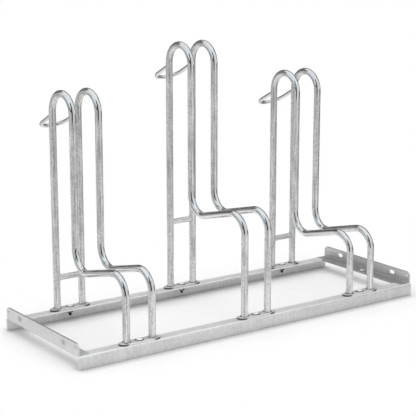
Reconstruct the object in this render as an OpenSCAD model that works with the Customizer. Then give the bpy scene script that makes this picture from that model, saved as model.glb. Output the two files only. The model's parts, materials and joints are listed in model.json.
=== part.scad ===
// Floor bike rack for three bicycles. A low ground frame of angle steel carries
// three wheel stands. Each stand is a pair of bent tube hoops on two foot plates,
// with a cross tube and a lock eye between its rear legs. The middle stand is
// raised, so that the handlebars of neighbouring bicycles pass each other.
// +X runs along the rails, +Y points to the rear and +Z up. The origin lies on
// the floor, at the middle of the whole rack's outline.

/* [Ground frame] */
// Length of the frame across the three wheel places
frame_len = 1050; // [1000:10:1400]
// Depth of the frame from the front rail's face to the rear rail's face
frame_depth = 365; // [335:5:420]
// Width of both legs of the front and rear angle rails
rail_leg = 32; // [30:1:40]
// Width of both legs of the two angle end bars
end_leg = 35; // [30:1:45]
// Steel thickness of the rails and end bars
angle_t = 4; // [3:0.5:5]
// Inner radius of the fold of the rails and end bars
fold_r = 2; // [1:0.5:3]
// Radius of the two upper corners of each end bar
end_corner_r = 12; // [6:1:14]

/* [End bar holes] */
// Distance between the two coupling slots of an end bar
slot_spacing = 218; // [180:2:240]
// Length of a coupling slot from end to end
slot_len = 20; // [16:1:30]
// Width of a coupling slot
slot_w = 11; // [9:0.5:12]
// Height of the coupling slots above the underside of the end bar
slot_up = 21; // [18:0.5:24]
// Distance between the two small holes of an end bar
small_spacing = 334; // [290:2:336]
// Diameter of the small holes
small_d = 7; // [5:0.5:8]
// Height of the small holes above the underside of the end bar
small_up = 23.5; // [18:0.5:25]
// Diameter of the floor anchor hole in each end bar
anchor_d = 12; // [9:0.5:14]

/* [Wheel stands] */
// Distance between neighbouring wheel places
stand_pitch = 350; // [200:10:400]
// Clear width of the wheel slot between the two hoops of a stand
wheel_slot = 55; // [40:1:65]
// Outer diameter of the hoop tube
tube_d = 18; // [16:0.5:22]
// Wall thickness of the hoop tube
tube_wall = 2; // [1.5:0.5:3]
// Centreline radius of every bend of a hoop
bend_r = 50; // [40:1:55]
// Overall height of the two low stands
low_height = 606; // [560:1:700]
// How much higher the middle stand is
middle_raise = 98; // [0:1:150]
// Height of the shelf's rear corner on the low stands, on the tube's axis
shelf_z = 151; // [140:1:190]
// How much the shelf rises towards its front corner
shelf_rise = 57.5; // [30:0.5:75]

/* [Cross tube and lock eye] */
// Outer diameter of the cross tube between the rear legs
cross_d = 15; // [12:0.5:16]
// Wall thickness of the cross tube
cross_wall = 1.5; // [1:0.5:2.5]
// Distance of the cross tube's axis below the shelf's rear corner
cross_drop = 33; // [20:1:50]
// Diameter of the round bar of a lock eye
eye_d = 10; // [8:0.5:12]
// Length of each straight leg of a lock eye, from the hoop tube's axis
eye_leg = 58; // [30:1:80]
// Slope of the lock eye below the horizontal, in degrees
eye_slope = 27; // [10:1:40]
// Distance of the lock eye's root below the top of the hoops
eye_drop = 66; // [62:1:120]

/* [Foot plates and fasteners] */
// Thickness of a foot plate
plate_t = 5; // [4:0.5:8]
// Width of a foot plate
plate_w = 25; // [22:1:28]
// How far a foot plate reaches beyond the axis of each tube
plate_over = 20.5; // [18:0.5:30]
// Leg of the fillet weld around the foot of each tube
weld_leg = 3; // [2:0.5:4]
// Thread diameter of the carriage bolts
bolt_d = 8; // [6:1:10]
// Length of a carriage bolt below its head
bolt_len = 25; // [22:1:35]
// Diameter of the domed bolt head
head_d = 20; // [16:0.5:22]
// Height of the domed bolt head
head_h = 4.6; // [3:0.1:6]
// Width across the flats of a nut
nut_af = 13; // [12:0.5:15]
// Height of a nut
nut_h = 6.5; // [5:0.1:8]
// Outer diameter of a washer
washer_d = 16; // [15:0.5:18]
// Thickness of a washer
washer_t = 1.6; // [1:0.1:2.5]

/* [Hidden] */
$fn = 64;

// Overrun of every cutting shape past the face that it cuts
cut = 1;
// Clearance of the bolt holes in the rails, on the diameter
hole_clear = 1;
// Clearance around the square neck of a bolt, and inside nuts and washers
neck_clear = 0.3;
// Chamfer at the end of a bolt's thread and at the corners of a nut
chamfer = 0.8;
// The bends of a hoop are a hair fuller than its straight runs, which lap into them
bend_seam = 0.05;
bend_lap = 1;
// Number of flats of a nut
nut_sides = 6;
// Places of the stands along the rails, from left to right
LEFT = -1;
MIDDLE = 0;
RIGHT = 1;
sides = [LEFT, RIGHT];
stands = [LEFT, MIDDLE, RIGHT];

fold_out = fold_r + angle_t;
hoop_x = (wheel_slot + tube_d) / 2;
foot_in = rail_leg / 2;
front_y = foot_in;
rear_y = frame_depth - foot_in;
upper_y = rear_y - 2 * bend_r;
foot_z = rail_leg + plate_t;
end_z = rail_leg - angle_t;

// The shelf leans by shelf_lean, so each of its bends turns a little more than a right angle
shelf_lean = atan2(shelf_rise, upper_y - front_y);
shelf_turn = 90 + shelf_lean;
tangent = bend_r * tan(shelf_turn / 2);

// The lock eyes reach furthest to the rear
eye_reach = (eye_leg + hoop_x) * cos(eye_slope) + eye_d / 2;
rack_depth = max(frame_depth, rear_y + eye_reach);

function lift(stand) = stand == MIDDLE ? middle_raise : 0;
function arch_z(stand) = low_height + lift(stand) - tube_d / 2 - bend_r;

// Moves the rack from the front rail's face to the middle of its outline
module at_origin() {
    translate([0, -rack_depth / 2, 0]) children();
}

// Folded angle section with its outer corner at the origin and legs along +X and +Y
module angle_section(leg) {
    translate([fold_out, 0]) square([leg - fold_out, angle_t]);
    translate([0, fold_out]) square([angle_t, leg - fold_out]);
    intersection() {
        square([fold_out, fold_out]);
        translate([fold_out, fold_out]) difference() {
            circle(r = fold_out);
            circle(r = fold_r);
        }
    }
}

// A rail lies with its fold at the top outer edge, so that its flat top points inwards
module rail() {
    difference() {
        translate([-frame_len / 2, 0, rail_leg]) mirror([0, 0, 1])
            rotate([90, 0, 90]) linear_extrude(height = frame_len) angle_section(rail_leg);
        for (side = sides) end_notch(side);
        for (stand = stands) translate([stand * stand_pitch, foot_in, end_z - cut])
            cylinder(d = bolt_d + hole_clear, h = angle_t + 2 * cut);
    }
}

// The rail's top is cut away where the flat leg of an end bar lies in it
module end_notch(side) {
    notch_x = side == LEFT ? -frame_len / 2 - cut : frame_len / 2 - end_leg;
    translate([notch_x, angle_t, end_z - fold_r])
        cube([end_leg + cut, rail_leg, fold_out + cut]);
}

module front_rail() {
    color([0.77, 0.78, 0.79]) at_origin() rail();
}

module rear_rail() {
    color([0.72, 0.73, 0.74]) at_origin() translate([0, frame_depth, 0]) mirror([0, 1, 0]) rail();
}

// The end bar lies between the rails' upright legs, flush with the rails' tops,
// and its own upright leg stands above them at the outer end
module end_bar() {
    bar_len = frame_depth - 2 * angle_t;
    difference() {
        translate([-frame_len / 2, frame_depth - angle_t, end_z]) rotate([90, 0, 0])
            linear_extrude(height = bar_len) angle_section(end_leg);
        for (end = sides) translate([-frame_len / 2, frame_depth / 2, end_z + end_leg])
            bar_corner(end, bar_len / 2);
        for (end = sides) {
            translate([-frame_len / 2, frame_depth / 2 + end * slot_spacing / 2, end_z + slot_up])
                coupling_slot();
            translate([-frame_len / 2 - cut, frame_depth / 2 + end * small_spacing / 2, end_z + small_up])
                rotate([0, 90, 0]) cylinder(d = small_d, h = angle_t + 2 * cut);
        }
        translate([(end_leg - frame_len) / 2, frame_depth / 2, end_z - cut])
            cylinder(d = anchor_d, h = angle_t + 2 * cut);
    }
}

// Waste outside the rounded upper corner at one end of an end bar
module bar_corner(end, half_len) {
    translate([-cut, end * (half_len - end_corner_r), -end_corner_r])
        rotate([90, 0, 90]) linear_extrude(height = end_leg) difference() {
            translate([end == LEFT ? -end_corner_r - cut : 0, 0])
                square([end_corner_r + cut, end_corner_r + cut]);
            circle(r = end_corner_r);
        }
}

// A slot through an end bar's upright leg, long way along the bar
module coupling_slot() {
    reach = (slot_len - slot_w) / 2;
    translate([-cut, 0, 0]) {
        for (end = sides) translate([0, end * reach, 0])
            rotate([0, 90, 0]) cylinder(d = slot_w, h = angle_t + 2 * cut);
        translate([0, -reach, -slot_w / 2]) cube([angle_t + 2 * cut, 2 * reach, slot_w]);
    }
}

module left_end_bar() {
    color([0.80, 0.81, 0.82]) at_origin() end_bar();
}

module right_end_bar() {
    color([0.60, 0.61, 0.63]) at_origin() mirror([1, 0, 0]) end_bar();
}

// Cross section of a round tube
module ring(outer, wall) {
    difference() {
        circle(d = outer);
        circle(d = outer - 2 * wall);
    }
}

// A straight stretch of hoop tube upwards from the origin, and what follows on it.
// It laps into the bend before it and into the bend after it.
module straight(len, before = bend_lap, after = bend_lap) {
    translate([0, 0, -before]) linear_extrude(height = len + before + after)
        ring(tube_d, tube_wall);
    translate([0, 0, len]) children();
}

// A bend that turns the upward direction forwards, or rearwards for a negative turn,
// and what follows on it
module bend(turn) {
    way = sign(turn);
    rotate([0, 0, way < 0 ? 180 : 0]) translate([0, -bend_r, 0]) rotate([90, 0, 90])
        rotate_extrude(angle = abs(turn)) translate([bend_r, 0])
            ring(tube_d + 2 * bend_seam, tube_wall + 2 * bend_seam);
    translate([0, -way * bend_r, 0]) rotate([turn, 0, 0]) translate([0, way * bend_r, 0])
        children();
}

// One hoop: up the rear leg, over the arch, down to the shelf, along it and down to the front
module hoop(stand, side) {
    shelf_run = (upper_y - front_y) / cos(shelf_lean) - 2 * tangent;
    corner_z = shelf_z + lift(stand);
    at_origin() translate([stand * stand_pitch + side * hoop_x, rear_y, foot_z])
        straight(arch_z(stand) - foot_z, before = 0)
            bend(180)
                straight(arch_z(stand) - corner_z - tangent)
                    bend(-shelf_turn)
                        straight(shelf_run)
                            bend(shelf_turn)
                                straight(corner_z + shelf_rise - tangent - foot_z, after = 0);
}

module left_stand_left_hoop() {
    color([0.74, 0.75, 0.76]) hoop(LEFT, LEFT);
}

module left_stand_right_hoop() {
    color([0.74, 0.75, 0.76]) hoop(LEFT, RIGHT);
}

module middle_stand_left_hoop() {
    color([0.74, 0.75, 0.76]) hoop(MIDDLE, LEFT);
}

module middle_stand_right_hoop() {
    color([0.74, 0.75, 0.76]) hoop(MIDDLE, RIGHT);
}

module right_stand_left_hoop() {
    color([0.74, 0.75, 0.76]) hoop(RIGHT, LEFT);
}

module right_stand_right_hoop() {
    color([0.74, 0.75, 0.76]) hoop(RIGHT, RIGHT);
}

// The two rear legs of a stand as full round bars around height z, which shape what is
// welded between or behind them
module leg_shapes(z, half_height) {
    for (side = sides) translate([side * hoop_x, rear_y, z - half_height])
        cylinder(d = tube_d, h = 2 * half_height);
}

// A tube between the rear legs, with its ends shaped to their round sides
module cross_tube(stand) {
    z = shelf_z + lift(stand) - cross_drop;
    at_origin() translate([stand * stand_pitch, 0, 0]) difference() {
        translate([-hoop_x, rear_y, z]) rotate([90, 0, 90])
            linear_extrude(height = 2 * hoop_x) ring(cross_d, cross_wall);
        leg_shapes(z, cross_d);
    }
}

module left_cross_tube() {
    color([0.70, 0.71, 0.72]) cross_tube(LEFT);
}

module middle_cross_tube() {
    color([0.70, 0.71, 0.72]) cross_tube(MIDDLE);
}

module right_cross_tube() {
    color([0.70, 0.71, 0.72]) cross_tube(RIGHT);
}

// A round bar bent to a U, which slopes down to the rear and ends on the rear legs
module lock_eye(stand) {
    root_z = low_height + lift(stand) - eye_drop;
    at_origin() translate([stand * stand_pitch, 0, 0]) difference() {
        translate([0, rear_y, root_z]) rotate([-eye_slope, 0, 0]) {
            for (side = sides) translate([side * hoop_x, 0, 0])
                rotate([-90, 0, 0]) cylinder(d = eye_d, h = eye_leg);
            translate([0, eye_leg, 0]) rotate_extrude(angle = 180)
                translate([hoop_x, 0]) circle(d = eye_d);
        }
        leg_shapes(root_z, tube_d + eye_d);
    }
}

module left_lock_eye() {
    color([0.68, 0.69, 0.71]) lock_eye(LEFT);
}

module middle_lock_eye() {
    color([0.68, 0.69, 0.71]) lock_eye(MIDDLE);
}

module right_lock_eye() {
    color([0.68, 0.69, 0.71]) lock_eye(RIGHT);
}

// A flat bar with round ends on the rail's top, with a square hole for the bolt's neck
// and a fillet weld around the foot of each tube
module foot_plate(stand, y) {
    end_x = hoop_x + plate_over - plate_w / 2;
    neck = bolt_d + neck_clear;
    at_origin() translate([stand * stand_pitch, y, rail_leg]) {
        linear_extrude(height = plate_t) difference() {
            union() {
                for (side = sides) translate([side * end_x, 0]) circle(d = plate_w);
                translate([-end_x, -plate_w / 2]) square([2 * end_x, plate_w]);
            }
            square([neck, neck], center = true);
        }
        for (side = sides) translate([side * hoop_x, 0, plate_t]) rotate_extrude()
            translate([tube_d / 2, 0]) polygon([[0, 0], [weld_leg, 0], [0, weld_leg]]);
    }
}

module left_front_foot_plate() {
    color([0.80, 0.82, 0.85]) foot_plate(LEFT, front_y);
}

module left_rear_foot_plate() {
    color([0.80, 0.82, 0.85]) foot_plate(LEFT, rear_y);
}

module middle_front_foot_plate() {
    color([0.80, 0.82, 0.85]) foot_plate(MIDDLE, front_y);
}

module middle_rear_foot_plate() {
    color([0.80, 0.82, 0.85]) foot_plate(MIDDLE, rear_y);
}

module right_front_foot_plate() {
    color([0.80, 0.82, 0.85]) foot_plate(RIGHT, front_y);
}

module right_rear_foot_plate() {
    color([0.80, 0.82, 0.85]) foot_plate(RIGHT, rear_y);
}

// One fastener at the middle of each of the six foot plates
module at_bolts(z) {
    at_origin() for (stand = stands, y = [front_y, rear_y])
        translate([stand * stand_pitch, y, z]) children();
}

// Carriage bolt with a domed head, a square neck in the plate and a chamfered end
module carriage_bolts() {
    dome_r = (head_d * head_d / 4 + head_h * head_h) / (2 * head_h);
    color([0.78, 0.81, 0.86]) at_bolts(foot_z) {
        rotate_extrude() intersection() {
            translate([0, head_h - dome_r]) circle(r = dome_r);
            square([head_d / 2, head_h]);
        }
        translate([-bolt_d / 2, -bolt_d / 2, -plate_t]) cube([bolt_d, bolt_d, plate_t]);
        translate([0, 0, chamfer - bolt_len]) cylinder(d = bolt_d, h = bolt_len - chamfer);
        translate([0, 0, -bolt_len]) cylinder(d1 = bolt_d - 2 * chamfer, d2 = bolt_d, h = chamfer);
    }
}

module washers() {
    color([0.72, 0.74, 0.77]) at_bolts(end_z - washer_t)
        linear_extrude(height = washer_t) difference() {
            circle(d = washer_d);
            circle(d = bolt_d + neck_clear);
        }
}

// Hexagon nuts with chamfered corners on their outer face
module nuts() {
    corner_d = nut_af / cos(180 / nut_sides);
    color([0.70, 0.72, 0.76]) at_bolts(end_z - washer_t - nut_h) difference() {
        intersection() {
            cylinder(d = corner_d, h = nut_h, $fn = nut_sides);
            union() {
                cylinder(d1 = corner_d - 2 * chamfer, d2 = corner_d, h = chamfer);
                translate([0, 0, chamfer]) cylinder(d = corner_d + cut, h = nut_h);
            }
        }
        translate([0, 0, -cut]) cylinder(d = bolt_d + neck_clear, h = nut_h + 2 * cut);
    }
}

front_rail();
rear_rail();
left_end_bar();
right_end_bar();
left_stand_left_hoop();
left_stand_right_hoop();
middle_stand_left_hoop();
middle_stand_right_hoop();
right_stand_left_hoop();
right_stand_right_hoop();
left_cross_tube();
middle_cross_tube();
right_cross_tube();
left_lock_eye();
middle_lock_eye();
right_lock_eye();
left_front_foot_plate();
left_rear_foot_plate();
middle_front_foot_plate();
middle_rear_foot_plate();
right_front_foot_plate();
right_rear_foot_plate();
carriage_bolts();
washers();
nuts();
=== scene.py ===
"""Floor bike rack for three bicycles, in its hot-dip galvanised finish.

Lengths are in metres, in the frame of the solid model: +X runs along the rails from the
left wheel place to the right one, +Y to the rear, where the lock eyes are, and +Z up.
"""
import json
import math

import bpy
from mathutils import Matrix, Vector


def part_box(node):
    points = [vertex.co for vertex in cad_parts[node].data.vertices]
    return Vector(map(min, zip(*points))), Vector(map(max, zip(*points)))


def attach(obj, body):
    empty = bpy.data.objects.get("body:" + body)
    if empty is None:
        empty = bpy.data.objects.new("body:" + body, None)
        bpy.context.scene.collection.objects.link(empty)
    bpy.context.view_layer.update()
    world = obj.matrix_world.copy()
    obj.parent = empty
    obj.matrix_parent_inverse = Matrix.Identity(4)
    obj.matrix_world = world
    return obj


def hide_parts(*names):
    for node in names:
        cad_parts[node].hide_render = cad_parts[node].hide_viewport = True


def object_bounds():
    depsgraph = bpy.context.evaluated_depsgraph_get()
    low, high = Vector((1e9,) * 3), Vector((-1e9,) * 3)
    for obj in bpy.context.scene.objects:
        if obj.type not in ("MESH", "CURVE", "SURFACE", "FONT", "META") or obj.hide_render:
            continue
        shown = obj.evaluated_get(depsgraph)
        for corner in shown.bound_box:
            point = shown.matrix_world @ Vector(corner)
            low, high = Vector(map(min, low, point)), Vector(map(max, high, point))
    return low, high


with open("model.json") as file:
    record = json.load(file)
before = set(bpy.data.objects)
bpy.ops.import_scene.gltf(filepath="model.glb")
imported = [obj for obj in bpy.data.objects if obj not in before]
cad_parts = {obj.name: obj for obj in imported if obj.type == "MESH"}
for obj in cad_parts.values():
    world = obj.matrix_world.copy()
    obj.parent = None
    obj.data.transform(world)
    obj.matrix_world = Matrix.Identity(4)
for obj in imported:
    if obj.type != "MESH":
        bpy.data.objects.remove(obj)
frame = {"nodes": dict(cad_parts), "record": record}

solid_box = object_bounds()


# Front and rear rails. Angle steel folded from 4 mm plate with the fold at the top outer
# edge, notched at both ends for the end bars. The frame is welded and then dipped in molten
# zinc, which freezes to a cloudy grey skin. The rails are painted in lit and shaded tones of
# it: the front rail's outer face a little darker as painted shade, the other faces lighter
# and the top faces lighter still as painted light, with a painted highlight along the top
# outer fold.

CLOUD = 0.040
FLECK = 0.004
RUN = 0.0030
GRAIN = 0.0022
CRYSTAL = 0.0055
CLOUD_RELIEF = 0.0002
FLECK_RELIEF = 0.00007
GRAIN_RELIEF = 0.00002
DOWNWARDS = (1, 1, 0.06)
FRAME_STREAKS = 0.9
RAIL_EDGE_R = 0.0010

# A fade is the pair of distances from a face, an edge or a middle between which a tone
# comes in.
FRONT_FADE = (0.0020, 0.0032)
TOP_FADE = (-0.0014, -0.0004)
FOLD_IN = (-0.0030, -0.0018)
FOLD_OUT = (-0.0008, -0.0001)


class Wire:
    """An output of a shader node. Python's operators on it add Math or Vector Math nodes."""

    def __init__(self, recipe, socket):
        self.recipe = recipe
        self.socket = socket

    def combine(self, operation, first, second):
        if self.socket.type == "VALUE":
            return self.recipe.node("Math", {"operation": operation}, {0: first, 1: second})
        spread = [(part,) * 3 if isinstance(part, (int, float)) else part
                  for part in (first, second)]
        return self.recipe.node("VectorMath", {"operation": operation}, {0: spread[0], 1: spread[1]})

    def __add__(self, other):
        return self.combine("ADD", self, other)

    def __radd__(self, other):
        return self.combine("ADD", other, self)

    def __sub__(self, other):
        return self.combine("SUBTRACT", self, other)

    def __rsub__(self, other):
        return self.combine("SUBTRACT", other, self)

    def __mul__(self, other):
        return self.combine("MULTIPLY", self, other)

    def __rmul__(self, other):
        return self.combine("MULTIPLY", other, self)

    def __abs__(self):
        kind = "Math" if self.socket.type == "VALUE" else "VectorMath"
        return self.recipe.node(kind, {"operation": "ABSOLUTE"}, {0: self})


class Recipe:
    """The shader nodes of one finish, or of the world."""

    def __init__(self, owner):
        owner.use_nodes = True
        self.owner = owner
        self.tree = owner.node_tree
        self.tree.nodes.clear()

    def node(self, kind, settings=None, inputs=None, output=0):
        made = self.tree.nodes.new("ShaderNode" + kind)
        for name, value in (settings or {}).items():
            setattr(made, name, value)
        for name, value in (inputs or {}).items():
            if isinstance(value, Wire):
                self.tree.links.new(value.socket, made.inputs[name])
            else:
                made.inputs[name].default_value = value
        return Wire(self, made.outputs[output]) if made.outputs else None

    def part(self, vector, axis):
        """The "X", "Y" or "Z" of a vector."""
        return self.node("SeparateXYZ", {}, {0: vector}, axis)

    def length(self, vector):
        return self.node("VectorMath", {"operation": "LENGTH"}, {0: vector}, "Value")

    def noise(self, place, grain, detail=2):
        """Soft noise from 0 to 1, whose patches are about as long as grain."""
        return self.node("TexNoise", {}, {"Vector": place, "Scale": 1 / grain, "Detail": detail})

    def step(self, value, low, high):
        """0 where value is under low, 1 where it is over high, and smooth between."""
        return self.node("MapRange", {"interpolation_type": "SMOOTHSTEP"},
                         {"Value": value, "From Min": low, "From Max": high})

    def mix(self, share, first, second):
        return self.node("Mix", {"data_type": "RGBA"}, {0: share, 6: first, 7: second}, 2)

    def metal(self, colour, rough, relief, metallic=1.0):
        """The surface of a metal: relief is the height of its skin in metres."""
        bent = self.node("Bump", {}, {"Height": relief, "Distance": 1.0})
        face = self.node("BsdfPrincipled", {}, {
            "Base Color": colour, "Metallic": metallic, "Roughness": rough, "Normal": bent})
        self.node("OutputMaterial", {}, {"Surface": face})


def zinc_skin(recipe, place, drawn, streaks):
    """Tone of hot-dip zinc from 0 to 1, with clouds, frozen crystals, grain and fine runs of
    the strength streaks, drawn out along one axis, and the height of its skin in metres."""
    clouds = recipe.noise(place, CLOUD, 3)
    flecks = recipe.noise(place, FLECK)
    runs = recipe.noise(place * drawn, RUN, 3)
    grain = recipe.noise(place, GRAIN, 1)
    crystals = recipe.node("TexVoronoi", {}, {"Vector": place, "Scale": 1 / CRYSTAL}, "Color")
    crystal = recipe.node("SeparateColor", {}, {0: crystals})
    tone = 0.5 + (clouds - 0.5) * 0.6 + (flecks - 0.5) * 0.8 + (runs - 0.5) * streaks
    tone = tone + (grain - 0.5) * 0.7 + (crystal - 0.5) * 0.15
    relief = clouds * CLOUD_RELIEF + flecks * FLECK_RELIEF + grain * GRAIN_RELIEF
    return tone, relief


def grey(tone):
    """Fresh zinc is a neutral grey."""
    return (tone, tone, tone, 1)


def dress(node, recipe, edge_r):
    """Rounds the cut edges of a solid that stays in view, and gives it its finish."""
    solid = frame["nodes"][node]
    solid.data.materials.clear()
    solid.data.materials.append(recipe.owner)
    weld = solid.modifiers.new("weld", "WELD")
    weld.merge_threshold = 1e-5
    flat = solid.modifiers.new("flat", "DECIMATE")
    flat.decimate_type = "DISSOLVE"
    flat.angle_limit = math.radians(0.5)
    round_off = solid.modifiers.new("round_off", "BEVEL")
    round_off.width = edge_r
    round_off.segments = 3
    round_off.angle_limit = math.radians(40)


rail_low, rail_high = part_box("front_rail")
rail_steel = Recipe(bpy.data.materials.new("galvanised_rail"))
place = rail_steel.node("TexCoord", {}, {}, "Object")
tone, relief = zinc_skin(rail_steel, place, DOWNWARDS, FRAME_STREAKS)
speckle = rail_steel.step(tone, 0.05, 0.95)
# Three tones as lit and shaded copies of one zinc: painted shade on the front rail's outer face, painted
# light on the other faces and more on the top faces.
shaded_front_face = rail_steel.mix(speckle, grey(0.55), grey(0.73))
lit_other_faces = rail_steel.mix(speckle, grey(0.62), grey(0.80))
lit_top_face = rail_steel.mix(speckle, grey(0.73), grey(0.89))
behind_front = rail_steel.part(place, "Y") - rail_low.y
over_top = rail_steel.part(place, "Z") - rail_high.z
rail_colour = rail_steel.mix(rail_steel.step(behind_front, *FRONT_FADE), shaded_front_face, lit_other_faces)
rail_colour = rail_steel.mix(rail_steel.step(over_top, *TOP_FADE), rail_colour, lit_top_face)
# A lighter line along the top outer fold: a painted highlight.
fold_highlight = rail_steel.step(over_top, *FOLD_IN) - rail_steel.step(over_top, *FOLD_OUT)
rail_colour = rail_steel.mix(fold_highlight * 0.6, rail_colour, grey(0.95))
rail_steel.metal(rail_colour, 0.38 + tone * 0.14, relief, metallic=0.45)
for name in ("front_rail", "rear_rail"):
    dress(name, rail_steel, RAIL_EDGE_R)


# Left and right end bars. The same angle steel, welded between the rails with its upright
# leg outside, and punched with coupling slots, small screw holes and one floor anchor hole.
# The inside of the right bar is painted darker as shade, most near its flat leg and around
# its middle, broken by lighter streaks, with a painted highlight along its inner fold. The
# wall of each floor anchor hole and a thin rim round it are painted near white as painted light.

MM = 0.001
BAR_EDGE_R = 0.0006
BORE_FADE = (0.0001, 0.0006)
RIGHT_FADE = (0.0, 0.1)
OUTER_FADE = (-0.0044, -0.0034)
END_FADE = (0.03, 0.15)
LEG_FADE = (0.002, 0.030)
LINE_IN = (0.0002, 0.0010)
LINE_OUT = (0.0018, 0.0028)
STREAK = 0.004
ENDWAYS = (1, 0.05, 1)

bar_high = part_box("right_end_bar")[1]
anchors = next(mount for mount in frame["record"]["mounts"] if mount["name"] == "floor_anchor_holes")
anchor_x = anchors["dims"]["spacing_x_mm"] * MM / 2
anchor_y = anchors["pos_m"][1]
anchor_r = anchors["dims"]["hole_r_mm"] * MM

bar_steel = Recipe(bpy.data.materials.new("galvanised_end_bar"))
place = bar_steel.node("TexCoord", {}, {}, "Object")
across = bar_steel.part(place, "X")
along = bar_steel.part(place, "Y")
height = bar_steel.part(place, "Z")
tone, relief = zinc_skin(bar_steel, place, DOWNWARDS, FRAME_STREAKS)
bar_colour = bar_steel.mix(bar_steel.step(tone, 0.05, 0.95), grey(0.54), grey(0.70))

over_leg = height - rail_high.z
inside = bar_steel.step(across, *RIGHT_FADE) - bar_steel.step(across - bar_high.x, *OUTER_FADE)
toward_ends = bar_steel.step(abs(along - anchor_y), *END_FADE)
near_leg = 1 - bar_steel.step(over_leg, *LEG_FADE)
streaks = bar_steel.step(bar_steel.noise(place * ENDWAYS, STREAK), 0.35, 0.65)
# Painted shade inside the right bar: darker toward the flat leg and the middle, broken by lighter
# streaks.
painted_shade_inside = inside * (0.75 - toward_ends * (1 - near_leg) * 0.45 + near_leg * (0.60 - streaks * 0.50))
bar_colour = bar_steel.mix(painted_shade_inside, bar_colour, grey(0.37))
# A lighter line along the right bar's inner fold: a painted highlight.
inner_fold_highlight = bar_steel.step(over_leg, *LINE_IN) - bar_steel.step(over_leg, *LINE_OUT)
bar_colour = bar_steel.mix(inner_fold_highlight * inside * 0.35, bar_colour, grey(0.85))

# The wall of each floor anchor hole and a thin rim round it are painted near white: painted light in the
# hole.
flat_place = bar_steel.node("CombineXYZ", {}, {"X": abs(across), "Y": along})
from_anchor = bar_steel.length(flat_place - (anchor_x, anchor_y, 0))
bore_painted_light = 1 - bar_steel.step(from_anchor - anchor_r, *BORE_FADE)
bar_colour = bar_steel.mix(bore_painted_light, bar_colour, grey(0.97))
cut_edge = bar_steel.step(height - bar_high.z, *TOP_FADE)
bar_colour = bar_steel.mix(cut_edge * 0.8, bar_colour, grey(0.26))
bar_steel.metal(bar_colour, 0.40 + tone * 0.12 - inside * 0.14, relief, metallic=0.5)
for name in ("left_end_bar", "right_end_bar"):
    dress(name, bar_steel, BAR_EDGE_R)


# Hoops. Six lengths of 18 mm tube, each bent three times on a bending machine: up the rear
# leg, over the arch, down to the shelf, along it and down to the front foot. The straight
# runs keep a matte, streaky zinc skin. The bends are stretched smooth and shine.

TUBE_R = 0.009
BEND_R = 0.050
SHELF_DROP = 0.396
SHELF_RISE = 0.0575
MATTE_TURN = 0.22
TUBE_SIDES = 28
RUN_STEP = 0.007
BEND_STEP = 0.0035
STAND_SHIFT = 3.0
SIDE_SHIFT = 1.3
ALONG_TUBE = (1, 1, 0.035)
TUBE_STREAKS = 1.9
SHARP = math.radians(40)
SIDES = ("left", "right")
STANDS = ("left", "middle", "right")

# The shine at one end of a stretch of tube, from 0 to 1, and how far it reaches in from there.
MATTE = (0.0, 0.01)
BRIGHT = (1.0, 1.0)
BRIGHT_RIM = (1.0, 0.004)
ARCH_START = (0.25, 0.03)
ARCH_END = (1.0, 0.13)
UNDER_ARCH = (1.0, 0.017)
ON_SHELF = (1.0, 0.5)


def middle(node):
    """The middle of a node's box."""
    low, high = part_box(node)
    return (low + high) / 2


def skinned(rings, joined=False, capped=False):
    """Corners and faces of the skin over rings of points. Each ring closes on itself."""
    count = len(rings[0])
    corners = [point for ring in rings for point in ring]
    faces = []
    for first in range(len(rings) - (0 if joined else 1)):
        start, after = first * count, (first + 1) % len(rings) * count
        for k in range(count):
            m = (k + 1) % count
            faces.append((start + k, start + m, after + m, after + k))
    if capped:
        faces.append(tuple(reversed(range(count))))
        faces.append(tuple(range(len(corners) - count, len(corners))))
    return corners, faces


def fit(name, skins, recipe, stands_for=()):
    """Makes one piece of the rack from its skins and sets it on the frame."""
    corners, faces = [], []
    for skin_corners, skin_faces in skins:
        faces += [tuple(k + len(corners) for k in face) for face in skin_faces]
        corners += skin_corners
    mesh = bpy.data.meshes.new(name)
    mesh.from_pydata(corners, [], faces)
    mesh.shade_smooth()
    mesh.set_sharp_from_angle(angle=SHARP)
    mesh.materials.append(recipe.owner)
    piece = bpy.data.objects.new(name, mesh)
    bpy.context.scene.collection.objects.link(piece)
    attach(piece, "root")
    if stands_for:
        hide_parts(*stands_for)
    return piece


def note_skin(piece, unrolled, shine):
    """Keeps where each corner lies on the straight tube before bending, and its shine."""
    mesh = piece.data
    laid = mesh.attributes.new("unrolled", "FLOAT_VECTOR", "POINT")
    laid.data.foreach_set("vector", [part for point in unrolled for part in point])
    mesh.attributes.new("shine", "FLOAT", "POINT").data.foreach_set("value", shine)


def around(count):
    """Even angles once round a section."""
    return [2 * math.pi * k / count for k in range(count)]


def hoop_course(stretches, start):
    """Samples (point, heading, distance, shine) of a bent tube's centreline. A heading of 0
    points up and grows as the tube turns forwards. A stretch is ("run", length) or
    ("bend", angle), then its shine at the start and at the end."""
    point, heading, travelled = Vector(start), 0.0, 0.0
    samples = []
    for kind, size, (near_shine, near_reach), (far_shine, far_reach) in stretches:
        turn = size if kind == "bend" else 0.0
        length = abs(turn) * BEND_R if turn else size
        way = math.copysign(1, turn)
        inward = Vector((0, -math.cos(heading), -math.sin(heading))) * way
        centre = point + inward * BEND_R
        ahead = Vector((0, -math.sin(heading), math.cos(heading)))
        steps = math.ceil(length / (BEND_STEP if turn else RUN_STEP))
        for step in range(0 if not samples else 1, steps + 1):
            run = length * step / steps
            angle = heading + turn * step / steps
            if turn:
                here = centre + Vector((0, math.cos(angle), math.sin(angle))) * (way * BEND_R)
            else:
                here = point + ahead * run
            shine = max(near_shine * math.exp(-(run / near_reach) ** 2),
                        far_shine * math.exp(-((length - run) / far_reach) ** 2))
            samples.append((here, angle, travelled + run, shine))
        point, heading, travelled = samples[-1][0], angle, travelled + length
    return samples


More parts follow.
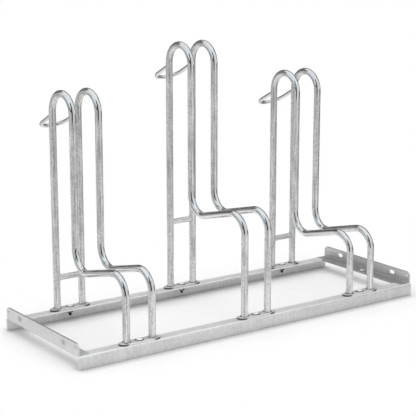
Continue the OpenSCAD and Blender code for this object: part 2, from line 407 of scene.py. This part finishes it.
tube_steel = Recipe(bpy.data.materials.new("galvanised_tube"))
place = tube_steel.node("Attribute", {"attribute_name": "unrolled"}, {}, "Vector")
shine = tube_steel.node("Attribute", {"attribute_name": "shine"}, {}, "Fac")
tone, relief = zinc_skin(tube_steel, place, ALONG_TUBE, TUBE_STREAKS)
matte = tube_steel.mix(tube_steel.step(tone, 0.0, 1.0), grey(0.42), grey(0.90))
smooth = tube_steel.mix(tube_steel.step(tone, 0.2, 0.8), grey(0.72), grey(0.80))
rough = (0.36 + tone * 0.12) * (1 - shine) + 0.09 * shine
tube_steel.metal(tube_steel.mix(shine, matte, smooth), rough, relief * (1 - shine * 0.96),
                 metallic=0.75 + shine * 0.25)

for stand in STANDS:
    rear_y = middle(stand + "_rear_foot_plate").y
    front_y = middle(stand + "_front_foot_plate").y
    for side in SIDES:
        node = stand + "_stand_" + side + "_hoop"
        low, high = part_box(node)
        arch_z = high.z - TUBE_R - BEND_R
        shelf_run = rear_y - 2 * BEND_R - front_y
        lean = math.atan2(SHELF_RISE, shelf_run)
        turn = math.pi / 2 + lean
        bite = BEND_R * math.tan(turn / 2)
        samples = hoop_course([
            ("run", arch_z - low.z, MATTE, ARCH_START),
            ("bend", math.pi, ARCH_START, ARCH_END),
            ("run", SHELF_DROP - bite, UNDER_ARCH, BRIGHT_RIM),
            ("bend", -turn, BRIGHT, BRIGHT),
            ("run", shelf_run / math.cos(lean) - 2 * bite, ON_SHELF, ON_SHELF),
            ("bend", turn - MATTE_TURN, BRIGHT, BRIGHT),
            ("bend", MATTE_TURN, BRIGHT_RIM, MATTE),
            ("run", arch_z - SHELF_DROP + SHELF_RISE - bite - low.z, MATTE, MATTE),
        ], (middle(node).x, rear_y, low.z))
        shift = STAND_SHIFT * STANDS.index(stand) + SIDE_SHIFT * SIDES.index(side)
        rings, unrolled, shines = [], [], []
        for point, heading, travelled, shine_here in samples:
            inward = Vector((0, -math.cos(heading), -math.sin(heading)))
            rings.append([point + Vector((math.cos(a) * TUBE_R, 0, 0)) + inward * (math.sin(a) * TUBE_R)
                          for a in around(TUBE_SIDES)])
            unrolled += [(math.cos(a) * TUBE_R, math.sin(a) * TUBE_R, travelled + shift)
                         for a in around(TUBE_SIDES)]
            shines += [shine_here] * TUBE_SIDES
        hoop = fit(node + "_tube", [skinned(rings, capped=True)], tube_steel, (node,))
        note_skin(hoop, unrolled, shines)


# Cross tubes. A short 15 mm tube between the two rear legs of each stand, with its ends
# shaped to the legs and welded all round.

CROSS_R = 0.0075
CROSS_STEPS = 20
CROSS_SHIFT = 5
CROSS_RIPPLES = 24
CROSS_WELD_SHINE = 0.3
SINK = 0.0004
FILLET_R = 0.0016
BEAD_SIDES = 10
RIPPLE_STEPS = 6
RIPPLE_LOW = 0.86
RIPPLE_RISE = 0.22


def bead(points, outward, radius, pitch, joined=True):
    """A weld bead of overlapping ripples along points, each with a way out of the joint."""
    rings, travelled = [], 0.0
    for k, (point, out) in enumerate(zip(points, outward)):
        before = points[k - 1] if joined or k else point
        after = points[(k + 1) % len(points)] if joined or k + 1 < len(points) else point
        travelled += (point - points[k - 1]).length if k else 0.0
        along = (after - before).normalized()
        flat = (out - along * out.dot(along)).normalized()
        rise = along.cross(flat)
        ripple = radius * (RIPPLE_LOW + RIPPLE_RISE * abs(math.sin(math.pi * travelled / pitch)))
        rings.append([point + flat * (math.cos(a) * ripple) + rise * (math.sin(a) * ripple)
                      for a in around(BEAD_SIDES)])
    return skinned(rings, joined=joined, capped=not joined)


def fit_tube_welds(name, welds, shine):
    """Sets weld beads of one shine on the frame, with their zinc patterned by place."""
    corners = [corner for weld in welds for corner in weld[0]]
    note_skin(fit(name, welds, tube_steel), corners, [shine] * len(corners))


for stand in STANDS:
    node = stand + "_cross_tube"
    centre = middle(node)
    half = middle(stand + "_stand_right_hoop").x - centre.x
    rings, unrolled = [], []
    for k in range(CROSS_STEPS + 1):
        ring = []
        for a in around(TUBE_SIDES):
            reach = half - math.sqrt(TUBE_R ** 2 - (CROSS_R * math.cos(a)) ** 2) + SINK
            along = reach * (2 * k / CROSS_STEPS - 1)
            offset = Vector((along, CROSS_R * math.cos(a), CROSS_R * math.sin(a)))
            ring.append(centre + offset)
            unrolled.append((offset.y, offset.z, offset.x + centre.x * CROSS_SHIFT))
        rings.append(ring)
    tube = fit(node + "_tube", [skinned(rings, capped=True)], tube_steel, (node,))
    note_skin(tube, unrolled, [0.0] * len(unrolled))
    welds = []
    for way in (-1, 1):
        outward = [Vector((0, math.cos(a), math.sin(a))) for a in around(CROSS_RIPPLES * RIPPLE_STEPS)]
        points = [centre + out * CROSS_R + Vector((way, 0, 0)) * (
            half - math.sqrt(TUBE_R ** 2 - (CROSS_R * out.y) ** 2)) for out in outward]
        welds.append(bead(points, outward, FILLET_R, 2 * math.pi * CROSS_R / CROSS_RIPPLES))
    fit_tube_welds(node + "_welds", welds, CROSS_WELD_SHINE)


# Lock eyes. A 10 mm round bar bent to a U, sloping down to the rear, with both ends shaped
# to the rear legs and welded there.

EYE_R = 0.005
EYE_LEG = 0.058
EYE_DROP = 0.066
EYE_SLOPE = math.radians(27)
EYE_SIDES = 20
EYE_LEG_STEPS = 12
EYE_BOW_STEPS = 40
EYE_STEP = 0.004
EYE_SHIFT = 7
EYE_RIPPLES = 16
EYE_SHINE = 0.7
EYE_WELD_SHINE = 0.5


def saddle(flat, rise):
    """How far out from a leg's centreline the bar's skin meets the leg."""
    return (math.sqrt(TUBE_R ** 2 - flat ** 2) - rise * math.sin(EYE_SLOPE)) / math.cos(EYE_SLOPE)


outwards = Vector((0, math.cos(EYE_SLOPE), -math.sin(EYE_SLOPE)))
upwards = Vector((0, math.sin(EYE_SLOPE), math.cos(EYE_SLOPE)))
rightwards = Vector((1, 0, 0))
for stand in STANDS:
    node = stand + "_lock_eye"
    leg = stand + "_stand_right_hoop"
    root = Vector((middle(node).x, middle(stand + "_rear_foot_plate").y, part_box(leg)[1].z - EYE_DROP))
    half = middle(leg).x - root.x
    course = [(math.pi, EYE_LEG * k / EYE_LEG_STEPS) for k in range(EYE_LEG_STEPS)]
    course += [(math.pi * (1 - k / EYE_BOW_STEPS), EYE_LEG) for k in range(EYE_BOW_STEPS + 1)]
    course += [(0.0, EYE_LEG * (1 - k / EYE_LEG_STEPS)) for k in range(1, EYE_LEG_STEPS + 1)]
    rings, unrolled = [], []
    for index, (angle, reach) in enumerate(course):
        side = rightwards * math.cos(angle) + outwards * math.sin(angle)
        ring = []
        for a in around(EYE_SIDES):
            flat, rise = EYE_R * math.cos(a), EYE_R * math.sin(a)
            run = max(reach, saddle(flat, rise) - SINK)
            ring.append(root + side * (half + flat) + outwards * run + upwards * rise)
            unrolled.append((flat, rise, index * EYE_STEP + root.x * EYE_SHIFT))
        rings.append(ring)
    eye = fit(node + "_bar", [skinned(rings, capped=True)], tube_steel, (node,))
    note_skin(eye, unrolled, [EYE_SHINE] * len(unrolled))
    welds = []
    for side in (-rightwards, rightwards):
        outward = [side * math.cos(a) + upwards * math.sin(a) for a in around(EYE_RIPPLES * RIPPLE_STEPS)]
        points = [root + side * half + out * EYE_R + outwards * saddle(
            EYE_R * out.dot(side), EYE_R * out.dot(upwards)) for out in outward]
        welds.append(bead(points, outward, FILLET_R, 2 * math.pi * EYE_R / EYE_RIPPLES))
    fit_tube_welds(node + "_welds", welds, EYE_WELD_SHINE)


# Foot plates. A 25 mm flat bar with round ends under each pair of tube feet. The tubes are
# welded on all round before dipping, and the zinc gathers shiny around the welds. The plates
# are painted near black as shade round the welds and the bolt heads, and on the sides of their
# ends.

PLATE_T = 0.005
PLATE_END_STEPS = 24
HEAD_R = 0.010
WELD_R = 0.0024
WELD_GAP = 0.0002
WELD_RIPPLES = 21
WELD_SPOT = 0.004
WELD_RELIEF = 0.0001
EVEN = (1, 1, 1)
PLATE_STREAKS = 0.3
BOLT_FADE = (0.0006, 0.0022)
WELD_FADE = (-0.0002, 0.0010)
TIP_FADE = (-0.004, 0.006)
SIDE_FADE = (-0.0014, -0.0002)

# Rounded edges of a plate: how far each point is set in, and its height over the face.
LOWER_EDGE = ((0.0010, 0.0), (0.0003, 0.0003), (0.0, 0.0010))
UPPER_EDGE = ((0.0, -0.0014), (0.0004, -0.0005), (0.0014, 0.0))

weld_steel = Recipe(bpy.data.materials.new("galvanised_weld"))
place = weld_steel.node("TexCoord", {}, {}, "Object")
spots = weld_steel.step(weld_steel.noise(place, WELD_SPOT), 0.42, 0.60)
weld_steel.metal(weld_steel.mix(spots, grey(0.20), grey(0.80)), 0.16, spots * WELD_RELIEF)

plate_middle = middle("left_front_foot_plate")
plate_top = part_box("left_front_foot_plate")[0].z + PLATE_T
stand_pitch = middle("middle_front_foot_plate").x - plate_middle.x
foot_pitch = middle("left_rear_foot_plate").y - plate_middle.y
leg_offset = plate_middle.x - middle("left_stand_left_hoop").x
half_pitch = Vector((stand_pitch / 2, foot_pitch / 2, 1))

plate_steel = Recipe(bpy.data.materials.new("galvanised_foot_plate"))
place = plate_steel.node("TexCoord", {}, {}, "Object")
tone, relief = zinc_skin(plate_steel, place, EVEN, PLATE_STREAKS)
plate_colour = plate_steel.mix(plate_steel.step(tone, 0.1, 0.9), grey(0.62), grey(0.80))
on_plate = plate_steel.node("VectorMath", {"operation": "WRAP"}, {
    0: place - tuple(plate_middle), 1: half_pitch, 2: -half_pitch})
from_middle = abs(on_plate * (1, 1, 0))
from_head = plate_steel.length(from_middle) - HEAD_R
from_weld = plate_steel.length(from_middle - (leg_offset, 0, 0)) - (TUBE_R + WELD_R)
# Painted shade, near black: round the bolt heads, round the tube welds and on the sides of the plates'
# ends.
at_tip = plate_steel.step(plate_steel.part(from_middle, "X") - leg_offset, *TIP_FADE)
on_side = 1 - plate_steel.step(plate_steel.part(place, "Z") - plate_top, *SIDE_FADE)
round_head = 1 - plate_steel.step(from_head, *BOLT_FADE)
round_weld = 1 - plate_steel.step(from_weld, *WELD_FADE)
plate_painted_shade = plate_steel.node("Math", {"operation": "MINIMUM"}, {
    0: round_head + round_weld + on_side * at_tip, 1: 1.0})
plate_colour = plate_steel.mix(plate_painted_shade * 0.95, plate_colour, grey(0.03))
plate_steel.metal(plate_colour, 0.34 + tone * 0.12, relief, metallic=0.5)


def stadium(low, high, inset, z):
    """A ring at height z round a bar with half-round ends, set in from its outline."""
    radius = (high.y - low.y) / 2
    middle_y = (low.y + high.y) / 2
    ring = []
    for end_x, start in ((high.x - radius, -math.pi / 2), (low.x + radius, math.pi / 2)):
        for k in range(PLATE_END_STEPS + 1):
            a = start + math.pi * k / PLATE_END_STEPS
            ring.append(Vector((end_x + math.cos(a) * (radius - inset),
                                middle_y + math.sin(a) * (radius - inset), z)))
    return ring


for stand in STANDS:
    for end in ("front", "rear"):
        node = stand + "_" + end + "_foot_plate"
        low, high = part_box(node)
        top = low.z + PLATE_T
        rings = [stadium(low, high, inset, low.z + rise) for inset, rise in LOWER_EDGE]
        rings += [stadium(low, high, inset, top + rise) for inset, rise in UPPER_EDGE]
        fit(node + "_bar", [skinned(rings, capped=True)], plate_steel, (node,))
        welds = []
        for side in SIDES:
            foot = Vector((middle(stand + "_stand_" + side + "_hoop").x, middle(node).y, top))
            outward = [Vector((math.cos(a), math.sin(a), 0)) for a in around(WELD_RIPPLES * RIPPLE_STEPS)]
            points = [foot + out * (TUBE_R + WELD_GAP) for out in outward]
            welds.append(bead(points, outward, WELD_R, 2 * math.pi * TUBE_R / WELD_RIPPLES))
        fit(node + "_welds", welds, weld_steel)


# Corner welds of the ground frame. Each end bar's flat leg lies flush in the notch of a rail,
# and a low bead closes the seam round the two sides of the notch.

STEEL_T = 0.004
SEAM_R = 0.0013
SEAM_SINK = 0.0006
SEAM_PITCH = 0.0036

seams = []
for rail, way in (("front_rail", 1), ("rear_rail", -1)):
    rail_low, rail_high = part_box(rail)
    outer_y, inner_y = (rail_low.y, rail_high.y) if way > 0 else (rail_high.y, rail_low.y)
    for bar, turn in (("left_end_bar", 1), ("right_end_bar", -1)):
        bar_low, bar_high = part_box(bar)
        outer_x, inner_x = (bar_low.x, bar_high.x) if turn > 0 else (bar_high.x, bar_low.x)
        height = rail_high.z - SEAM_SINK
        stops = [Vector((inner_x, inner_y - way * SEAM_R, height)),
                 Vector((inner_x, outer_y + way * STEEL_T, height)),
                 Vector((outer_x + turn * (STEEL_T + SEAM_R), outer_y + way * STEEL_T, height))]
        points = []
        for near, far in zip(stops, stops[1:]):
            count = math.ceil((far - near).length / SEAM_PITCH * RIPPLE_STEPS)
            points += [near.lerp(far, k / count) for k in range(count)]
        seams.append(bead(points, [Vector((0, 0, 1))] * len(points), SEAM_R, SEAM_PITCH, joined=False))
fit("frame_corner_welds", seams, rail_steel)


# Carriage bolts, washers and nuts. An M8 bolt with a low domed head goes down through the
# middle of each foot plate and the rail's top, with a washer and a nut under the rail.

HEAD_H = 0.0046
RIM_INSET = 0.0005
RIM_LOW = 0.0004
RIM_TOP = 0.0007
DOME_STEPS = 12
TIP_R_SQUARED = 1e-9
BOLT_R = 0.004
BOLT_LEN = 0.025
BOLT_TAPER = 0.0012
BOLT_CHAMFER = 0.0008
THREAD_PITCH = 0.00125
THREAD_DEPTH = 0.0006
THREAD_STEPS = 150
THREAD_SIDES = 24
HOLE_R = 0.00415
WASHER_R = 0.008
WASHER_LOWER_EASE = 0.0004
WASHER_UPPER_EASE = 0.0002
NUT_FLAT = 0.0065
NUT_TURN = math.pi / 3
NUT_SIDES = 72
ZINC_CLOUD = 0.006
ZINC_GRAIN = 0.0008
SHADE_MOTTLE = 0.007
SHANK_FADE = (0.0006, 0.0022)

# How far a nut's corners are cut back, and how deep below its face.
NUT_CHAMFER = ((0.0009, 0.0), (0.0005, 0.00023), (0.0, 0.0006))

bright_zinc = Recipe(bpy.data.materials.new("bright_zinc"))
place = bright_zinc.node("TexCoord", {}, {}, "Object")
clouds = bright_zinc.noise(place, ZINC_CLOUD)
grain = bright_zinc.noise(place, ZINC_GRAIN)
# Below the lower rim of each bolt head, the thread, the washers and the nuts under the rail are painted
# near black as shade, mottled between two dark tones; the head above is light zinc.
shade_mottle = bright_zinc.step(bright_zinc.noise(place, SHADE_MOTTLE), 0.40, 0.60)
on_head = bright_zinc.step(bright_zinc.part(place, "Z") - plate_top, *SHANK_FADE)
head_colour = bright_zinc.mix(clouds, (0.84, 0.86, 0.89, 1), (0.95, 0.97, 1.0, 1))
painted_shade_below = bright_zinc.mix(shade_mottle, (0.02, 0.02, 0.02, 1), (0.28, 0.29, 0.30, 1))
bolt_colour = bright_zinc.mix(on_head, painted_shade_below, head_colour)
bright_zinc.metal(bolt_colour, 0.12 + grain * 0.10, grain * GRAIN_RELIEF, metallic=1 - on_head * 0.75)


def turned(profile, centre, sides=48):
    """Rings of a piece turned on a lathe, from its profile of (radius, height)."""
    return [[centre + Vector((math.cos(a) * radius, math.sin(a) * radius, z)) for a in around(sides)]
            for radius, z in profile]


dome_r = (HEAD_R ** 2 + HEAD_H ** 2) / (2 * HEAD_H)
head = [(HEAD_R - RIM_INSET, PLATE_T), (HEAD_R, PLATE_T + RIM_LOW)]
for k in range(DOME_STEPS + 1):
    height = RIM_TOP + (HEAD_H - RIM_TOP) * math.sin(math.pi / 2 * k / DOME_STEPS)
    radius = math.sqrt(max(dome_r ** 2 - (dome_r - HEAD_H + height) ** 2, TIP_R_SQUARED))
    head.append((radius, PLATE_T + height))

washer_low, washer_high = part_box("washers")
washer = [(HOLE_R, washer_low.z), (WASHER_R - WASHER_LOWER_EASE, washer_low.z),
          (WASHER_R, washer_low.z + WASHER_LOWER_EASE), (WASHER_R, washer_high.z - WASHER_UPPER_EASE),
          (WASHER_R - WASHER_UPPER_EASE, washer_high.z), (HOLE_R, washer_high.z)]

nut_low, nut_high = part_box("nuts")
nut_corner_r = NUT_FLAT / math.cos(NUT_TURN / 2)
nut_levels = [(cut, nut_low.z + depth) for cut, depth in NUT_CHAMFER]
nut_levels += [(cut, nut_high.z - depth) for cut, depth in reversed(NUT_CHAMFER)]

bolts, washers, nuts = [], [], []
for plate in [stand + "_" + end + "_foot_plate" for stand in STANDS for end in ("front", "rear")]:
    axis = Vector((middle(plate).x, middle(plate).y, 0))
    seat = Vector((axis.x, axis.y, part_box(plate)[0].z))
    bolts.append(skinned(turned(head, seat), capped=True))
    thread = []
    for k in range(THREAD_STEPS + 1):
        from_tip = (BOLT_LEN - PLATE_T) * k / THREAD_STEPS
        z = PLATE_T - BOLT_LEN + from_tip
        cut_back = BOLT_CHAMFER * (1 - min(1.0, from_tip / BOLT_TAPER))
        ring = []
        for a in around(THREAD_SIDES):
            phase = (z / THREAD_PITCH - a / (2 * math.pi)) % 1.0
            radius = BOLT_R - THREAD_DEPTH * abs(2 * phase - 1) - cut_back
            ring.append(seat + Vector((math.cos(a) * radius, math.sin(a) * radius, z)))
        thread.append(ring)
    bolts.append(skinned(thread, capped=True))

    washers.append(skinned(turned(washer, axis), joined=True))

    rings = []
    for cut, z in nut_levels:
        ring = []
        for a in around(NUT_SIDES):
            flat_r = NUT_FLAT / math.cos((a + NUT_TURN / 2) % NUT_TURN - NUT_TURN / 2)
            radius = min(flat_r, nut_corner_r - cut)
            ring.append(axis + Vector((math.cos(a) * radius, math.sin(a) * radius, z)))
        rings.append(ring)
    rings += turned([(HOLE_R, nut_high.z), (HOLE_R, nut_low.z)], axis, NUT_SIDES)
    nuts.append(skinned(rings, joined=True))

fit("carriage_bolts_turned", bolts, bright_zinc, ("carriage_bolts",))
fit("washers_stamped", washers, bright_zinc, ("washers",))
fit("nuts_chamfered", nuts, bright_zinc, ("nuts",))


# Studio. A white floor that runs on into a white background, soft lamps above the rack and
# to its left, and dark, grey and pale blue cards round the set that show only as streaks in
# the metal.

VIEW_TURN = math.radians(35.487)
VIEW_PITCH = math.radians(12.943)
VIEW_PLACE = (-1.9580, -2.7401, 1.0479)
LENS = 114.32
WHITE = (1, 1, 1, 1)
DOME = 0.68
FLOOR_HALF = 40
FLOOR_Z = -0.0004
CONTACT_REACH = 0.030
GLOW_FADE = (-0.03, 0.18)

camera = bpy.data.objects.new("camera", bpy.data.cameras.new("camera"))
bpy.context.scene.collection.objects.link(camera)
camera.data.sensor_width = 36
camera.data.lens = LENS
camera.data.clip_end = 100
camera.location = VIEW_PLACE
camera.rotation_euler = (math.pi / 2 - VIEW_PITCH, 0, -VIEW_TURN)
bpy.context.scene.camera = camera


def card(name, rows, recipe):
    """A card of the studio, stretched between rows of points."""
    count = len(rows[0])
    faces = [(r * count + k, r * count + k + 1, (r + 1) * count + k + 1, (r + 1) * count + k)
             for r in range(len(rows) - 1) for k in range(count - 1)]
    mesh = bpy.data.meshes.new(name)
    mesh.from_pydata([point for row in rows for point in row], [], faces)
    mesh.materials.append(recipe.owner)
    made = bpy.data.objects.new(name, mesh)
    bpy.context.scene.collection.objects.link(made)
    return made


def seen(recipe):
    """1 for rays from the camera and for those that metal mirrors or glass lets through."""
    rays = [recipe.node("LightPath", {}, {}, kind)
            for kind in ("Is Camera Ray", "Is Glossy Ray", "Is Transmission Ray")]
    return recipe.node("Math", {"operation": "MINIMUM"}, {0: rays[0] + rays[1] + rays[2], 1: 1.0})


half_x = (solid_box[1].x - solid_box[0].x) / 2
half_y = (solid_box[1].y - solid_box[0].y) / 2

floor_paint = Recipe(bpy.data.materials.new("floor_paint"))
# Near the rack the floor's colour is darkened by ambient occlusion: painted contact shade.
open_sky = floor_paint.node("AmbientOcclusion", {"samples": 8}, {"Distance": CONTACT_REACH}, "AO")
floor_painted_shade = floor_paint.mix(open_sky, grey(0.06), grey(0.93))
matte_floor = floor_paint.node("BsdfDiffuse", {}, {"Color": floor_painted_shade})
glow = floor_paint.node("Emission", {}, {"Color": WHITE, "Strength": 1.0})
spot = floor_paint.node("TexCoord", {}, {}, "Object")
past = floor_paint.node("VectorMath", {"operation": "MAXIMUM"}, {
    0: abs(spot) - (half_x, half_y, 0), 1: (0, 0, 0)})
far = floor_paint.step(floor_paint.length(past), *GLOW_FADE)
blend = floor_paint.node("MixShader", {}, {0: seen(floor_paint) * far, 1: matte_floor, 2: glow})
floor_paint.node("OutputMaterial", {}, {"Surface": blend})
ends = (-FLOOR_HALF, FLOOR_HALF)
card("floor", [[(x, y, FLOOR_Z) for x in ends] for y in ends], floor_paint)

world = Recipe(bpy.data.worlds.new("studio"))
bpy.context.scene.world = world.owner
light = world.mix(seen(world), grey(DOME), WHITE)
world.node("OutputWorld", {}, {"Surface": world.node("Background", {}, {"Color": light})})

CARD_REACH = 2.2
APRON = 0.85
CARD_STEP = 5
LOW_EDGE = 0.60
LINE_LOW = 0.75
BLUE_LOW = 1.15
SIDE_EDGE = 2.2
BACK_EDGE = 2.6
TOP_EDGE = 3.4
BLUE_EDGE = 4.0
HIGH_EDGE = 6.0
FRONT = (-22, 15)
RIGHT = (15, 82)
FAR_RIGHT = (82, 148)
BACK = (148, 212)
FAR_LEFT = (212, 262)
LEFT = (262, 338)
WIDE_BACK = (112, 254)
WIDE_LEFT = (258, 338)
BLUE = (0.84, 0.97, 1.06, 1)
PALE_BLUE = (0.89, 0.98, 1.05, 1)


def flag(name, colour, turns, low, high):
    """A curved card of one colour round the set, between two turns in degrees, counted to the
    right from the camera's side. One that starts at the floor also runs in over it. Only
    mirrored rays meet it, so it shades nothing."""
    paint = Recipe(bpy.data.materials.new(name + "_paint"))
    paint.node("OutputMaterial", {}, {"Surface": paint.node(
        "Emission", {}, {"Color": colour, "Strength": 1.0})})
    edges = [(CARD_REACH, low), (CARD_REACH, high)]
    if low == 0:
        edges.insert(0, (APRON, low))
    start, stop = turns
    steps = math.ceil((stop - start) / CARD_STEP)
    ways = [math.radians(start + (stop - start) * k / steps) - VIEW_TURN for k in range(steps + 1)]
    made = card(name, [[(math.sin(way) * reach, -math.cos(way) * reach, z) for way in ways]
                       for reach, z in edges], paint)
    made.visible_camera = False
    made.visible_diffuse = False
    made.visible_shadow = False
    made.visible_transmission = False


flag("front_black", grey(0.04), FRONT, 0, TOP_EDGE)
flag("right_grey", grey(0.78), RIGHT, 0, SIDE_EDGE)
flag("right_black", grey(0.12), FAR_RIGHT, 0, LOW_EDGE)
flag("back_grey", grey(0.60), BACK, 0, LOW_EDGE)
flag("back_black", grey(0.10), WIDE_BACK, LOW_EDGE, BACK_EDGE)
flag("left_low", grey(0.50), FAR_LEFT, 0, LOW_EDGE)
flag("left_grey", grey(0.60), LEFT, 0, LINE_LOW)
flag("left_line", grey(0.12), LEFT, LINE_LOW, BLUE_LOW)
flag("left_blue", BLUE, WIDE_LEFT, BLUE_LOW, BLUE_EDGE)
flag("front_blue", PALE_BLUE, FRONT, TOP_EDGE, HIGH_EDGE)
flag("right_blue", PALE_BLUE, RIGHT, SIDE_EDGE, HIGH_EDGE)


def lamp(name, place, aim, size, power):
    """A soft square lamp of white light that the metal doesn't mirror."""
    light = bpy.data.lights.new(name, "AREA")
    light.shape = "SQUARE"
    light.size = size
    light.energy = power
    made = bpy.data.objects.new(name, light)
    bpy.context.scene.collection.objects.link(made)
    made.location = place
    made.rotation_mode = "QUATERNION"
    made.rotation_quaternion = (Vector(aim) - Vector(place)).to_track_quat("-Z", "Y")
    made.visible_glossy = False


lamp("key", place=(0.5, 1.3, 2.4), aim=(0, 0, 0.1), size=4.4, power=42)
lamp("fill", place=(-2.6, -1.6, 0.9), aim=(0, 0, 0.1), size=1.6, power=24)
lamp("sky", place=(-0.6, -1.6, 2.5), aim=(0, 0, 0.3), size=1.8, power=13)

bpy.context.scene.view_settings.view_transform = "Standard"
